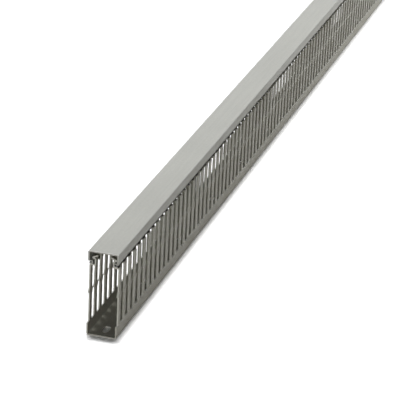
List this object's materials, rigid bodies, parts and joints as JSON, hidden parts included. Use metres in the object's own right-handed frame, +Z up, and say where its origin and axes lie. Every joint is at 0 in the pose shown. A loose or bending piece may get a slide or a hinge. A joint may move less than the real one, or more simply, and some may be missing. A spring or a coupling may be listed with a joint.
{
  "type": "slotted cable trunking",
  "caption": "Slotted cable trunking: a narrow, tall channel with fingered side walls, oblong fixing slots in its base and a clip-on lid that slides along it.",
  "frame": {"origin": "on the underside of the base, under the middle of the length and width", "axes": "+Y along the trunking, away from the front end; +Z up from the base to the lid; +X to the right seen from the front end"},
  "size_m": [0.0254, 1, 0.074],
  "materials": {
    "duct_pvc": "satin extruded PVC, stone grey",
    "lid_pvc": "satin extruded PVC, stone grey"
  },
  "bodies": {
    "duct": {"duct_body": "duct_pvc"},
    "cover": {"lid": "lid_pvc"}
  },
  "joints": [
    {"name": "lid_slide", "type": "slide", "parent": "duct", "child": "cover", "axis": [0, 1, 0], "range_m": [-0.9, 0.9]}
  ]
}
